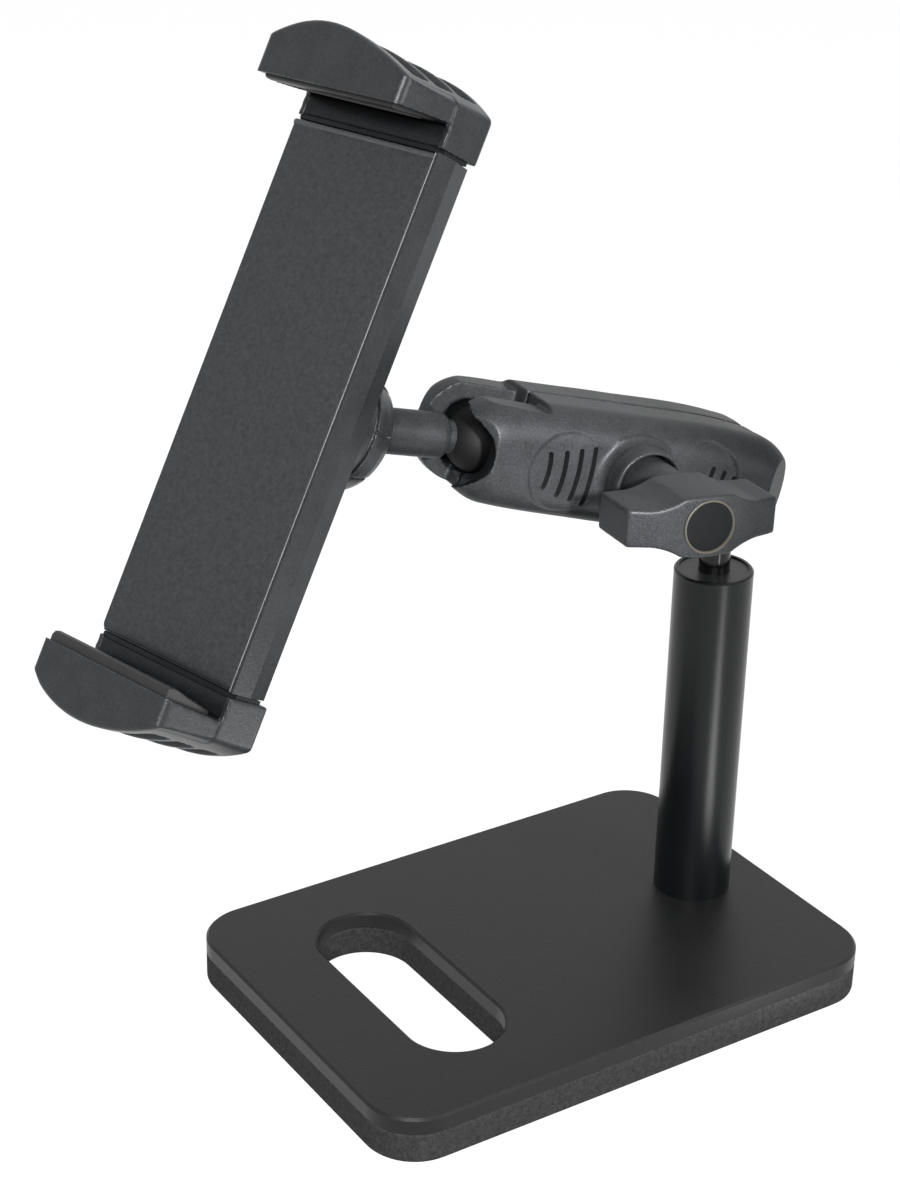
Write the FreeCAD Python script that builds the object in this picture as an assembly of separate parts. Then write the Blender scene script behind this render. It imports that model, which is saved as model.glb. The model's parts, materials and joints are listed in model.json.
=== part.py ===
import FreeCAD, Part
import math
import os

# Tablet desk stand: weighted base, post, double ball arm and sliding clamp holder.
# Millimetres, +Z up, the origin is the centre of the underside of the base.

# Base plate and its rubber pad
BASE_LENGTH = 180.0
BASE_WIDTH = 126.5
BASE_CORNER = 16.4
PLATE_THICK = 5.4
PLATE_BEVEL = 0.8
PAD_THICK = 10.0
SLOT_LENGTH = 82.0
SLOT_WIDTH = 31.4
SLOT_FROM_FRONT = 43.8

# Post on the plate
POST_OD = 25.0
POST_WALL = 1.5
POST_TOP = 130.0
POST_FROM_REAR = 25.7
POST_BEVEL = 0.6
LOWER_PLUG_LENGTH = 20.0
UPPER_PLUG_LENGTH = 21.0
UPPER_PLUG_SINK = 0.5
BOLT_D = 8.0
BOLT_HEAD_D = 13.0
BOLT_HEAD_H = 5.4
BOLT_IN_PLUG = 17.0
POST_WASHER_D = 18.0
POST_WASHER_THICK = 1.6
BOLT_ACCESS_D = 20.0

# Lower stud, clip and ball
BALL_D = 20.0
LOWER_BALL_Z = 162.2
STUD_D = 9.8
STUD_IN_PLUG = 24.0
CLIP_D = 16.0
CLIP_THICK = 1.2

# Arm of two shells around both balls
BALL_SPAN = 84.6
ARM_HEADING = 10.8
ARM_PITCH = 14.8
ARM_ROLL = 3.8
ARM_GAP = 1.5
SHELL_DEPTH = 22.0
SHELL_MID_HALF = 18.0
SHELL_END_R = 15.7
SHELL_ROUND = 10.5
STEP_X = 29.5
STEP_Y = 14.6
END_SLANT_FRONT = 46.4
END_SLANT_DEPTH = 11.0
NECK_SLOT = 14.8
SLOT_OPEN_END = 78.0
FUNNEL_INNER_R = 7.6
FUNNEL_OUTER_R = 10.4
SHELL_WALL = 3.4
SHELL_FACE = 5.4
POCKET_HALF = 24.0
BOSS_R = 8.6
BOSS_LENGTH = 9.0
RING_R = 11.2
RING_WALL = 1.5
RING_RISE = 4.5
CLAMP_BOLT_HEAD_D = 15.0
CLAMP_BOLT_HEAD_H = 3.2
CLAMP_BOLT_SINK = 0.6
SPRING_R = 6.6
SPRING_WALL = 1.4

# Wing knob on the clamp bolt
KNOB_TURN = -11.6
KNOB_HALF_LENGTH = 23.5
KNOB_WING_HALF = 5.5
KNOB_FLAT_START = 16.5
KNOB_HUB_X = 8.0
KNOB_HUB_HALF = 9.0
KNOB_BACK = 45.0
KNOB_FRONT = 67.0
KNOB_CROWN_R = 64.0
KNOB_SHANK_R = 8.6
KNOB_INSERT_R = 6.0
KNOB_INSERT_LENGTH = 34.0
KNOB_WASHER_THICK = 1.5
KNOB_CAP_R = 7.4
KNOB_CAP_THICK = 2.0
KNOB_CAP_SINK = 0.5
KNOB_EDGE = 0.9
BOLT_IN_KNOB = 30.0

# Stem between the arm and the holder
STEM_DROP = 2.25
STEM_REACH = 45.9
STEM_D = 13.5
STEM_FROM_ARM_BALL = 10.6
STEM_FROM_HOLDER_BALL = 13.7
STEM_ROUND = 2.6
HOLDER_NECK_D = 9.5

# Holder orientation and body
HOLDER_HEADING = 11.65
HOLDER_SIDE_RISE = 1.6
HOLDER_UPRIGHT = 59.8
HOLDER_BALL_BACK = 28.6
HOLDER_HALF_WIDTH = 29.7
HOLDER_HALF_LENGTH = 77.3
RIM_FRONT = 0.7
RIM_WIDTH = 1.5
CREASE_DEPTH = 6.5
BACK_DEPTH = 14.0
BACK_DRAW_IN = 2.2
SIDE_WALL = 3.5
CAVITY_FRONT = 4.6
CAVITY_BACK = 11.2
FACE_PAD_THICK = 2.0
FACE_PAD_INSET = 0.3
FACE_PAD_ROUND = 1.2
SCREW_STATIONS = (-60.0, -30.0, 30.0, 60.0)
SCREW_D = 3.0
SCREW_HEAD_D = 5.4
SCREW_HEAD_H = 1.6
SCREW_BOSS_R = 3.2

# Socket and ring nut behind the holder
SOCKET_R = 14.8
SOCKET_FOOT = 2.0
NUT_TOP = 16.4
NUT_R_TOP = 20.4
NUT_R = 21.4
NUT_WAIST = 31.0
NUT_END = 36.2
NUT_R_END = 16.6
NUT_TILT = 30.0
NUT_GRIPS = 12
NUT_GRIP_R = 3.0
NUT_GRIP_DEPTH = 0.9

# Sliding claws, racks and pinion
RACK_MODULE = 1.0
TOOTH_TIP = 0.75
PINION_TEETH = 12
PINION_PIN_D = 5.0
LEG_THICK = 5.4
LEG_OUTER = 25.8
LEG_TAIL = 42.0
TONGUE_START = 66.0
RACK_TOP = 4.0
HEAD_HALF_WIDTH = 28.1
CLAW_HALF_WIDTH = 30.0
CLAW_START = 78.5
CLAW_BASE_BACK = 14.5
CLAW_CORNER_V = 92.6
CLAW_CREST_V = 100.8
CLAW_LIP_FRONT = 21.0
CLAW_LIP_HALF = 28.4
CLAW_FLOOR = 3.0
CLAW_INNER_V = 85.4
CLAW_INNER_LIP_V = 83.2
CLAW_EDGE = 1.2
CLAW_PAD_THICK = 1.8
CLAW_PAD_HALF = 25.5
CLAW_PAD_START = 2.4
CLAW_PAD_END = 19.0
CLAW_RIDGE = 1.6

# Clearances
FIT = 0.1
BALL_FIT = 0.25
SLIDE_FIT = 0.35
TOOTH_FIT = 0.35

V = FreeCAD.Vector
UP = V(0, 0, 1)


def frame_at(point, rotation):
    return FreeCAD.Placement(point, rotation)


def arm_frame():
    ball = V(0, BASE_LENGTH / 2 - POST_FROM_REAR, LOWER_BALL_Z)
    turn = FreeCAD.Rotation(90 - ARM_HEADING, ARM_PITCH, 90 - ARM_ROLL)
    middle = ball - turn.multVec(V(BALL_SPAN / 2, 0, 0))
    return frame_at(middle, turn)


def stem_frame():
    arm = arm_frame()
    swing = FreeCAD.Rotation(UP, STEM_DROP)
    lie = FreeCAD.Rotation(V(0, 1, 0), -90)
    local = frame_at(V(-BALL_SPAN / 2, 0, 0), swing.multiply(lie))
    return arm.multiply(local)


def holder_frame():
    ball = stem_frame().multVec(V(0, 0, STEM_REACH))
    turn = FreeCAD.Rotation(HOLDER_HEADING, -HOLDER_SIDE_RISE, HOLDER_UPRIGHT)
    return frame_at(ball + turn.multVec(V(0, 0, HOLDER_BALL_BACK)), turn)


def placed(shape, frame):
    moved = shape.copy()
    moved.Placement = frame.multiply(moved.Placement)
    return moved


def export(name, shape):
    shape.exportStep("parts/" + name + ".step")


def box(x0, x1, y0, y1, z0, z1):
    return Part.makeBox(x1 - x0, y1 - y0, z1 - z0, V(x0, y0, z0))


def cyl(radius, z0, z1, x=0.0, y=0.0):
    return Part.makeCylinder(radius, z1 - z0, V(x, y, z0))


def ring(outer, inner, z0, z1):
    return cyl(outer, z0, z1).cut(cyl(inner, z0, z1))


def prism(points, depth):
    corners = [V(*p) for p in points]
    return Part.Face(Part.makePolygon(corners + corners[:1])).extrude(depth)


def arc(a, b, c):
    return Part.Arc(V(*a), V(*b), V(*c)).toShape()


def line(a, b):
    return Part.makeLine(V(*a), V(*b))


def rounded_plate(length, width, corner, z0, z1):
    slab = box(-width / 2, width / 2, -length / 2, length / 2, z0, z1)
    upright = [e for e in slab.Edges if abs(e.tangentAt(e.FirstParameter).z) > 0.9]
    return slab.makeFillet(corner, upright)


def hand_slot(z0, z1):
    y = SLOT_FROM_FRONT - BASE_LENGTH / 2
    half = (SLOT_LENGTH - SLOT_WIDTH) / 2
    r = SLOT_WIDTH / 2
    middle = box(-half, half, y - r, y + r, z0, z1)
    return middle.fuse([cyl(r, z0, z1, -half, y), cyl(r, z0, z1, half, y)]).removeSplitter()


def edges_at(shape, height):
    return [e for e in shape.Edges if abs(e.BoundBox.ZMin - height) < 1e-4 and e.BoundBox.ZLength < 1e-4]


def build_base():
    top = PAD_THICK + PLATE_THICK
    post_y = BASE_LENGTH / 2 - POST_FROM_REAR
    plate = rounded_plate(BASE_LENGTH, BASE_WIDTH, BASE_CORNER, PAD_THICK, top)
    plate = plate.cut(hand_slot(PAD_THICK, top))
    plate = plate.makeChamfer(PLATE_BEVEL, edges_at(plate, top))
    plate = plate.cut(cyl(BOLT_D / 2 + FIT, PAD_THICK, top, 0, post_y))
    pad = rounded_plate(BASE_LENGTH, BASE_WIDTH, BASE_CORNER, 0, PAD_THICK)
    pad = pad.cut(hand_slot(0, PAD_THICK))
    pad = pad.cut(cyl(BOLT_ACCESS_D / 2, 0, PAD_THICK, 0, post_y))
    export("base_plate", plate)
    export("base_pad", pad)


def build_post():
    foot = PAD_THICK + PLATE_THICK
    inner = POST_OD / 2 - POST_WALL
    at_post = V(0, BASE_LENGTH / 2 - POST_FROM_REAR, 0)
    tube = ring(POST_OD / 2, inner, foot, POST_TOP)
    tube = tube.makeChamfer(POST_BEVEL, [e for e in edges_at(tube, POST_TOP) if e.Curve.Radius > inner + 0.1])
    lower = cyl(inner, foot, foot + LOWER_PLUG_LENGTH)
    lower = lower.cut(cyl(BOLT_D / 2, foot, foot + LOWER_PLUG_LENGTH))
    plug_top = POST_TOP - UPPER_PLUG_SINK
    upper = cyl(inner, plug_top - UPPER_PLUG_LENGTH, plug_top)
    upper = upper.cut(cyl(STUD_D / 2 + FIT, plug_top - UPPER_PLUG_LENGTH, plug_top))
    washer = ring(POST_WASHER_D / 2, BOLT_D / 2 + FIT, PAD_THICK - POST_WASHER_THICK, PAD_THICK)
    head_top = PAD_THICK - POST_WASHER_THICK
    bolt = cyl(BOLT_HEAD_D / 2, head_top - BOLT_HEAD_H, head_top)
    bolt = bolt.fuse(cyl(BOLT_D / 2, head_top, foot + BOLT_IN_PLUG)).removeSplitter()
    pieces = {"post_tube": tube, "post_lower_plug": lower, "post_upper_plug": upper}
    pieces.update({"post_washer": washer, "post_bolt": bolt})
    for name, shape in pieces.items():
        shape.translate(at_post)
        export(name, shape)


def build_lower_ball():
    centre = V(0, BASE_LENGTH / 2 - POST_FROM_REAR, LOWER_BALL_Z)
    plug_bottom = POST_TOP - UPPER_PLUG_SINK - UPPER_PLUG_LENGTH
    stud_end = POST_TOP - UPPER_PLUG_SINK - STUD_IN_PLUG
    stud = cyl(STUD_D / 2, stud_end - LOWER_BALL_Z, 0)
    stud = stud.cut(Part.makeSphere(BALL_D / 2 + FIT))
    clip_top = plug_bottom - FIT - LOWER_BALL_Z
    groove = ring(STUD_D, STUD_D / 2 - 0.8, clip_top - CLIP_THICK, clip_top)
    stud = stud.cut(groove)
    clip = ring(CLIP_D / 2, STUD_D / 2 - 0.8, clip_top - CLIP_THICK, clip_top)
    clip = clip.cut(box(0, CLIP_D, -2.0, 2.0, clip_top - CLIP_THICK, clip_top))
    ball = Part.makeSphere(BALL_D / 2)
    for name, shape in (("lower_stud", stud), ("stud_clip", clip), ("lower_ball", ball)):
        shape.translate(centre)
        export(name, shape)


def shell_outline():
    half = BALL_SPAN / 2
    end = SHELL_END_R
    mid = SHELL_MID_HALF
    big = (half ** 2 + mid ** 2 - end ** 2) / (2 * (mid - end))
    lean = math.asin(half / (big - end))
    x = half + end * math.sin(lean)
    y = end * math.cos(lean)
    edges = [arc((-x, y, 0), (0, mid, 0), (x, y, 0)), arc((x, y, 0), (half + end, 0, 0), (x, -y, 0))]
    edges += [arc((x, -y, 0), (0, -mid, 0), (-x, -y, 0)), arc((-x, -y, 0), (-half - end, 0, 0), (-x, y, 0))]
    return Part.Face(Part.Wire(edges))


def slant_cut():
    # The ends slope from the full outline to the shorter front face
    far = BALL_SPAN
    deep = SHELL_DEPTH - END_SLANT_DEPTH
    run = BALL_SPAN / 2 + SHELL_END_R - END_SLANT_FRONT
    x = END_SLANT_FRONT - run
    z = SHELL_DEPTH + deep
    corners = [(x, -far, z), (x + 3 * run, -far, z - 3 * deep), (x + 3 * run, -far, z)]
    return prism(corners, V(0, 2 * far, 0))


def neck_sweep():
    # The room in which a neck swings about the clamp axis, round the lower ball's end
    half = BALL_SPAN / 2
    reach = 2 * SHELL_END_R
    wide = NECK_SLOT / 2
    start = math.degrees(math.acos((STEP_X - half) / reach))
    span = start + SLOT_OPEN_END
    sector = Part.makeCylinder(reach, 2 * wide, V(0, 0, -wide), UP, span)
    sector.rotate(V(0, 0, 0), UP, -start)
    sector.translate(V(half, 0, 0))
    side = box(STEP_X, half, -reach, 0, -wide, wide)
    funnel = Part.makeCone(FUNNEL_INNER_R, FUNNEL_OUTER_R, SHELL_END_R - FUNNEL_INNER_R)
    funnel.rotate(V(0, 0, 0), V(0, 1, 0), 90)
    funnel.translate(V(half + FUNNEL_INNER_R, 0, 0))
    mouth = Part.makeCylinder(FUNNEL_OUTER_R, SHELL_END_R, V(half + SHELL_END_R, 0, 0), V(1, 0, 0))
    return [sector, side, funnel, mouth, step_cut(), slant_cut()]


def step_cut():
    # Beside the open slot the wall drops from the swell to the end's own height
    far = BALL_SPAN
    return box(STEP_X, far, -2 * SHELL_MID_HALF, -STEP_Y, -far, far)


def half_shell():
    # The half toward +Z; the other one is its mirror image
    rise = shell_outline().extrude(V(0, 0, SHELL_DEPTH))
    shell = rise.makeFillet(SHELL_ROUND, edges_at(rise, SHELL_DEPTH))
    shell = shell.cut(cyl(BALL_SPAN, 0, ARM_GAP / 2))
    for tool in neck_sweep():
        shell = shell.cut(tool)
        turned = tool.copy()
        turned.rotate(V(0, 0, 0), UP, 180)
        shell = shell.cut(turned)
    for side in (-1, 1):
        socket = Part.makeSphere(BALL_D / 2 + BALL_FIT, V(side * BALL_SPAN / 2, 0, 0))
        shell = shell.cut(socket)
    return hollowed(shell)


def hollowed(shell):
    inner_top = SHELL_DEPTH - SHELL_FACE
    room_half = SHELL_MID_HALF - SHELL_WALL - 2.0
    room = box(-POCKET_HALF, POCKET_HALF, -room_half, room_half, 0, inner_top)
    room = room.makeFillet(5.0, edges_at(room, inner_top))
    room = room.cut(cyl(BOSS_R, inner_top - BOSS_LENGTH, inner_top))
    return shell.cut(room).cut(cyl(BOLT_D / 2 + SLIDE_FIT, 0, SHELL_DEPTH))


def build_arm():
    frame = arm_frame()
    half = half_shell()
    rear = half.mirror(V(0, 0, 0), UP)
    seat = SHELL_DEPTH - CLAMP_BOLT_SINK - CLAMP_BOLT_HEAD_H
    rear = rear.cut(cyl(CLAMP_BOLT_HEAD_D / 2 + FIT, -SHELL_DEPTH, -seat))
    collar = ring(RING_R, RING_R - RING_WALL, SHELL_DEPTH - SHELL_WALL, SHELL_DEPTH + RING_RISE)
    inside = cyl(RING_R - RING_WALL, SHELL_DEPTH, SHELL_DEPTH + RING_RISE)
    front = half.fuse(collar).cut(inside).removeSplitter()
    bolt = cyl(CLAMP_BOLT_HEAD_D / 2, -seat - CLAMP_BOLT_HEAD_H, -seat)
    knob_seat = SHELL_DEPTH + KNOB_WASHER_THICK
    bolt = bolt.fuse(cyl(BOLT_D / 2, -seat, knob_seat + BOLT_IN_KNOB)).removeSplitter()
    spring_half = SHELL_DEPTH - SHELL_FACE - BOSS_LENGTH
    spring = ring(SPRING_R, SPRING_R - SPRING_WALL, -spring_half, spring_half)
    export("arm_rear_shell", placed(rear, frame))
    export("arm_front_shell", placed(front, frame))
    export("clamp_bolt", placed(bolt, frame))
    export("arm_spring", placed(spring, frame))


def knob_outline():
    far = KNOB_HALF_LENGTH
    wing = KNOB_WING_HALF
    flat = KNOB_FLAT_START
    hub_x = KNOB_HUB_X
    hub = KNOB_HUB_HALF
    shoulder = hub - 0.5
    mid_x = (flat + hub_x) / 2
    mid_y = wing + 0.32 * (shoulder - wing)
    edges = []
    for s in (1, -1):
        edges.append(line((s * far, -s * wing, 0), (s * far, s * wing, 0)))
        edges.append(line((s * far, s * wing, 0), (s * flat, s * wing, 0)))
        edges.append(arc((s * flat, s * wing, 0), (s * mid_x, s * mid_y, 0), (s * hub_x, s * shoulder, 0)))
        edges.append(arc((s * hub_x, s * shoulder, 0), (0, s * hub, 0), (-s * hub_x, s * shoulder, 0)))
        edges.append(arc((-s * hub_x, s * shoulder, 0), (-s * mid_x, s * mid_y, 0), (-s * flat, s * wing, 0)))
        edges.append(line((-s * flat, s * wing, 0), (-s * far, s * wing, 0)))
    return Part.Face(Part.Wire(Part.__sortEdges__(edges)))


def build_knob():
    frame = arm_frame()
    seat = SHELL_DEPTH + KNOB_WASHER_THICK
    wings = knob_outline().extrude(V(0, 0, KNOB_FRONT - KNOB_BACK))
    wings.translate(V(0, 0, KNOB_BACK))
    crown = Part.makeCylinder(KNOB_CROWN_R, 60, V(0, 30, KNOB_FRONT - KNOB_CROWN_R), V(0, -1, 0))
    wings = wings.common(crown)
    wings = wings.makeFillet(KNOB_EDGE, wings.Edges)
    knob = wings.fuse(cyl(KNOB_SHANK_R, seat, KNOB_BACK + 4)).removeSplitter()
    knob.rotate(V(0, 0, 0), UP, -KNOB_TURN)
    insert_top = seat + KNOB_INSERT_LENGTH
    knob = knob.cut(cyl(KNOB_INSERT_R, seat, insert_top))
    cap_back = KNOB_FRONT - KNOB_CAP_SINK - KNOB_CAP_THICK
    knob = knob.cut(cyl(KNOB_CAP_R, cap_back, KNOB_FRONT))
    insert = ring(KNOB_INSERT_R, BOLT_D / 2 + FIT, seat, insert_top)
    cap = cyl(KNOB_CAP_R, cap_back, KNOB_FRONT - KNOB_CAP_SINK)
    washer = ring(KNOB_SHANK_R, BOLT_D / 2 + FIT, SHELL_DEPTH, seat)
    export("knob", placed(knob, frame))
    export("knob_insert", placed(insert, frame))
    export("knob_cap", placed(cap, frame))
    export("knob_washer", placed(washer, frame))


def build_stem():
    frame = stem_frame()
    far = STEM_REACH
    wide_end = far - STEM_FROM_HOLDER_BALL
    body = cyl(STEM_D / 2, STEM_FROM_ARM_BALL, wide_end)
    body = body.makeFillet(STEM_ROUND, edges_at(body, STEM_FROM_ARM_BALL) + edges_at(body, wide_end))
    stem = body.fuse([cyl(STUD_D / 2, 0, far / 2), cyl(HOLDER_NECK_D / 2, far / 2, far)])
    near_ball = Part.makeSphere(BALL_D / 2 + FIT)
    far_ball = Part.makeSphere(BALL_D / 2 + FIT, V(0, 0, far))
    stem = stem.cut(near_ball).cut(far_ball).removeSplitter()
    export("upper_ball", placed(Part.makeSphere(BALL_D / 2), frame))
    export("upper_stem", placed(stem, frame))
    export("holder_ball", placed(Part.makeSphere(BALL_D / 2, V(0, 0, far)), frame))


def build_holder_body():
    frame = holder_frame()
    w = HOLDER_HALF_WIDTH
    long = HOLDER_HALF_LENGTH
    cavity = box(SIDE_WALL - w, w - SIDE_WALL, -long, long, -CAVITY_BACK, -CAVITY_FRONT)
    front = box(-w, w, -long, long, -CREASE_DEPTH, RIM_FRONT)
    front = front.cut(box(RIM_WIDTH - w, w - RIM_WIDTH, -long, long, -FACE_PAD_THICK, RIM_FRONT))
    front = front.cut(cavity)
    tail = [(-w, -long, -CREASE_DEPTH), (w, -long, -CREASE_DEPTH)]
    tail += [(w - BACK_DRAW_IN, -long, -BACK_DEPTH), (BACK_DRAW_IN - w, -long, -BACK_DEPTH)]
    back = prism(tail, V(0, 2 * long, 0)).cut(cavity)
    back = back.fuse(cyl(SOCKET_R + SOCKET_FOOT, -BACK_DEPTH - SOCKET_FOOT, -BACK_DEPTH))
    back = back.fuse(cyl(SOCKET_R, -HOLDER_BALL_BACK, -BACK_DEPTH))
    back = back.cut(Part.makeSphere(BALL_D / 2 + BALL_FIT, V(0, 0, -HOLDER_BALL_BACK)))
    for i, y in enumerate(SCREW_STATIONS):
        front = front.fuse(cyl(SCREW_BOSS_R, -CAVITY_BACK, -CAVITY_FRONT, 0, y))
        front = front.cut(cyl(SCREW_D / 2, -CAVITY_BACK, -CAVITY_FRONT, 0, y))
        back = back.cut(cyl(SCREW_D / 2, -BACK_DEPTH, -CAVITY_BACK, 0, y))
        back = back.cut(cyl(SCREW_HEAD_D / 2 + FIT, -BACK_DEPTH, SCREW_HEAD_H - BACK_DEPTH, 0, y))
        screw = cyl(SCREW_D / 2, -BACK_DEPTH, -CAVITY_FRONT, 0, y)
        screw = screw.fuse(cyl(SCREW_HEAD_D / 2, -BACK_DEPTH, SCREW_HEAD_H - BACK_DEPTH, 0, y))
        export("holder_screw_" + str(i + 1), placed(screw.removeSplitter(), frame))
    pin = cyl(PINION_PIN_D / 2, -CAVITY_BACK, -CAVITY_FRONT)
    export("holder_front", placed(front.removeSplitter(), frame))
    export("holder_back", placed(back.removeSplitter(), frame))
    export("pinion_pin", placed(pin, frame))


def build_face_pad():
    half = HOLDER_HALF_WIDTH - RIM_WIDTH - FACE_PAD_INSET
    long = HOLDER_HALF_LENGTH - FACE_PAD_INSET
    pad = box(-half, half, -long, long, -FACE_PAD_THICK, 0)
    across = [e for e in edges_at(pad, 0) if e.BoundBox.YLength < 1e-4]
    export("holder_pad", placed(pad.makeFillet(FACE_PAD_ROUND, across), holder_frame()))


def build_nut():
    profile = [(0, 0, -NUT_TOP), (NUT_R_TOP, 0, -NUT_TOP), (NUT_R, 0, -NUT_TOP - 4.0)]
    profile += [(NUT_R, 0, -NUT_WAIST), (NUT_R_END, 0, -NUT_END), (0, 0, -NUT_END)]
    corners = [V(*p) for p in profile]
    nut = Part.Face(Part.makePolygon(corners + corners[:1])).revolve(V(0, 0, 0), UP, 360)
    nut = nut.cut(cyl(SOCKET_R + FIT, -HOLDER_BALL_BACK - SLIDE_FIT, -NUT_TOP))
    nut = nut.cut(Part.makeSphere(BALL_D / 2 + BALL_FIT, V(0, 0, -HOLDER_BALL_BACK)))
    tilt = math.radians(NUT_TILT)
    near = HOLDER_NECK_D / 2 / math.cos(tilt) + SLIDE_FIT
    deep = NUT_END - HOLDER_BALL_BACK + 1.0
    opening = Part.makeCone(near, near + deep * math.tan(tilt), deep, V(0, 0, -HOLDER_BALL_BACK), V(0, 0, -1))
    nut = nut.cut(opening)
    for i in range(NUT_GRIPS):
        angle = 2 * math.pi * i / NUT_GRIPS
        out = NUT_R + NUT_GRIP_R - NUT_GRIP_DEPTH
        grip = cyl(NUT_GRIP_R, -NUT_WAIST - 1.0, -NUT_TOP - 2.0, out * math.cos(angle), out * math.sin(angle))
        nut = nut.cut(grip)
    export("ring_nut", placed(nut, holder_frame()))


def pinion_tooth(angle):
    pitch_r = RACK_MODULE * PINION_TEETH / 2
    root = pitch_r - 1.25 * RACK_MODULE
    tip = pitch_r + TOOTH_TIP * RACK_MODULE
    thick = math.pi * RACK_MODULE / 2 - TOOTH_FIT
    lean = math.tan(math.radians(20))
    base = thick / 2 + 1.25 * RACK_MODULE * lean
    end = thick / 2 - TOOTH_TIP * RACK_MODULE * math.tan(math.radians(30))
    depth = V(0, 0, LEG_THICK)
    corners = [(root - 0.6, -base, 0), (pitch_r, -thick / 2, 0), (tip, -end, 0)]
    corners += [(tip, end, 0), (pitch_r, thick / 2, 0), (root - 0.6, base, 0)]
    tooth = prism(corners, depth)
    tooth.rotate(V(0, 0, 0), UP, angle)
    return tooth


def leg_back():
    # The racks and pinion lie midway between the cavity's front and back walls
    return -(CAVITY_BACK + CAVITY_FRONT) / 2 - LEG_THICK / 2


def build_pinion():
    root = RACK_MODULE * PINION_TEETH / 2 - 1.25 * RACK_MODULE
    wheel = cyl(root, 0, LEG_THICK)
    wheel = wheel.fuse([pinion_tooth(360.0 * i / PINION_TEETH) for i in range(PINION_TEETH)])
    wheel = wheel.cut(cyl(PINION_PIN_D / 2 + FIT, 0, LEG_THICK)).removeSplitter()
    wheel.translate(V(0, 0, leg_back()))
    export("pinion", placed(wheel, holder_frame()))


def rack_gaps():
    # Tooth spaces of the rack, which faces the pinion across its pitch line
    pitch_r = RACK_MODULE * PINION_TEETH / 2
    step = math.pi * RACK_MODULE
    lean = math.tan(math.radians(20))
    tip = pitch_r - TOOTH_TIP * RACK_MODULE
    root = pitch_r + 1.25 * RACK_MODULE
    half = step / 4 + TOOTH_FIT / 2
    mouth = half + TOOTH_TIP * RACK_MODULE * lean
    floor = half - 1.25 * RACK_MODULE * lean
    first = math.floor((1.5 - LEG_TAIL) / step) + 1
    last = math.floor(RACK_TOP / step)
    gaps = []
    for i in range(first, last + 1):
        y = i * step
        corners = [(tip, y - mouth, 0), (root, y - floor, 0), (root, y + floor, 0), (tip, y + mouth, 0)]
        gaps.append(prism(corners, V(0, 0, LEG_THICK)))
    return gaps


def slide_piece():
    pitch_r = RACK_MODULE * PINION_TEETH / 2
    tip = pitch_r - TOOTH_TIP * RACK_MODULE
    root = pitch_r + 1.25 * RACK_MODULE
    leg = box(root, LEG_OUTER, -LEG_TAIL, CLAW_START, 0, LEG_THICK)
    teeth = box(tip, root, -LEG_TAIL, RACK_TOP + RACK_MODULE, 0, LEG_THICK)
    teeth = teeth.cut(Part.makeCompound(rack_gaps()))
    tongue = box(-LEG_OUTER, root, TONGUE_START, CLAW_START, 0, LEG_THICK)
    leg = leg.fuse(teeth).fuse(tongue).removeSplitter()
    leg.translate(V(0, 0, leg_back()))
    w = HEAD_HALF_WIDTH
    head = box(-w, w, CLAW_START, CLAW_INNER_V, SLIDE_FIT - CLAW_BASE_BACK + 1.2, -CLAW_FLOOR)
    return leg.fuse(head).removeSplitter()


def claw_piece():
    w = CLAW_HALF_WIDTH
    side = w * 0.96
    outline = [line((-w, CLAW_START, 0), (w, CLAW_START, 0)), line((w, CLAW_START, 0), (w, CLAW_CORNER_V - 2, 0))]
    outline.append(arc((w, CLAW_CORNER_V - 2, 0), (w - 0.5, CLAW_CORNER_V - 0.6, 0), (side, CLAW_CORNER_V, 0)))
    outline.append(arc((side, CLAW_CORNER_V, 0), (0, CLAW_CREST_V, 0), (-side, CLAW_CORNER_V, 0)))
    outline.append(arc((-side, CLAW_CORNER_V, 0), (0.5 - w, CLAW_CORNER_V - 0.6, 0), (-w, CLAW_CORNER_V - 2, 0)))
    outline.append(line((-w, CLAW_CORNER_V - 2, 0), (-w, CLAW_START, 0)))
    block = Part.Face(Part.Wire(outline)).extrude(V(0, 0, CLAW_LIP_FRONT + CLAW_BASE_BACK))
    block.translate(V(0, 0, -CLAW_BASE_BACK))
    block = block.makeFillet(CLAW_EDGE, edges_at(block, CLAW_LIP_FRONT) + edges_at(block, -CLAW_BASE_BACK))
    far = 2 * w
    front = CLAW_LIP_FRONT + CLAW_EDGE
    mouth = [(-far, CLAW_START - 9, RIM_FRONT), (-far, CLAW_INNER_V, RIM_FRONT)]
    mouth += [(-far, CLAW_INNER_LIP_V, CLAW_LIP_FRONT), (-far, CLAW_INNER_LIP_V, front), (-far, CLAW_START - 9, front)]
    block = block.cut(prism(mouth, V(2 * far, 0, 0)))
    for s in (-1, 1):
        wedge = [(s * w, 0, RIM_FRONT), (s * CLAW_LIP_HALF, 0, front), (s * far, 0, front), (s * far, 0, RIM_FRONT)]
        block = block.cut(prism(wedge, V(0, far * 2, 0)))
    h = HEAD_HALF_WIDTH
    pocket = box(-h, h, CLAW_START, CLAW_INNER_V, SLIDE_FIT - CLAW_BASE_BACK + 1.2, RIM_FRONT)
    return block.cut(pocket)


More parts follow.
